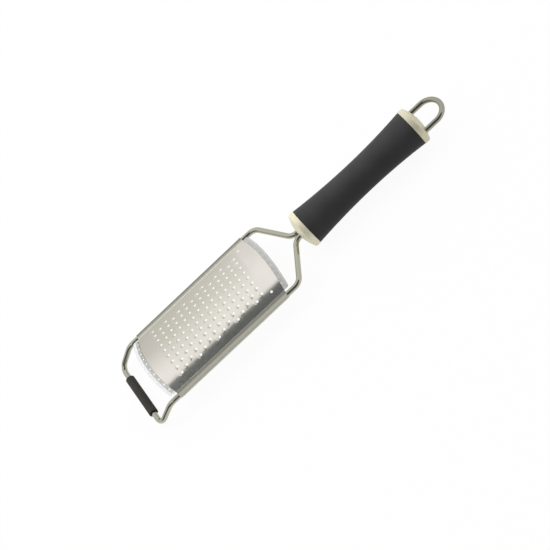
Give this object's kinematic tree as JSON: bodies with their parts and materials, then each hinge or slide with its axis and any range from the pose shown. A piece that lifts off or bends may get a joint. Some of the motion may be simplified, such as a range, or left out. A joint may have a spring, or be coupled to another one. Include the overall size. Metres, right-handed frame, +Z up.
{
  "type": "rasp zester",
  "caption": "Rasp zester: an arched toothed steel blade in a bent wire frame with a rubber foot sleeve, a waisted soft grip with steel caps and a wire hanging loop.",
  "frame": {"origin": "centre of the tool's footprint on the surface that it lies on", "axes": "+X along the handle towards the hanging loop, +Y to the left across the blade, +Z up, out of the blade's toothed face"},
  "size_m": [0.2914, 0.0664, 0.0285],
  "materials": {
    "steel_wire": "polished",
    "foot_rubber": "matt",
    "blade_steel": "satin",
    "clear_guard": "frosted clear",
    "polished_cap": "polished",
    "soft_grip": "matt",
    "core_plastic": "moulded"
  },
  "bodies": {
    "root": {"wire_frame": "steel_wire", "foot_sleeve": "foot_rubber", "blade": "blade_steel", "handle_end_guard": "clear_guard", "foot_end_guard": "clear_guard", "front_cap": "polished_cap", "grip": "soft_grip", "handle_core": "core_plastic", "rear_cap": "polished_cap", "hanging_loop": "steel_wire"}
  },
  "joints": []
}
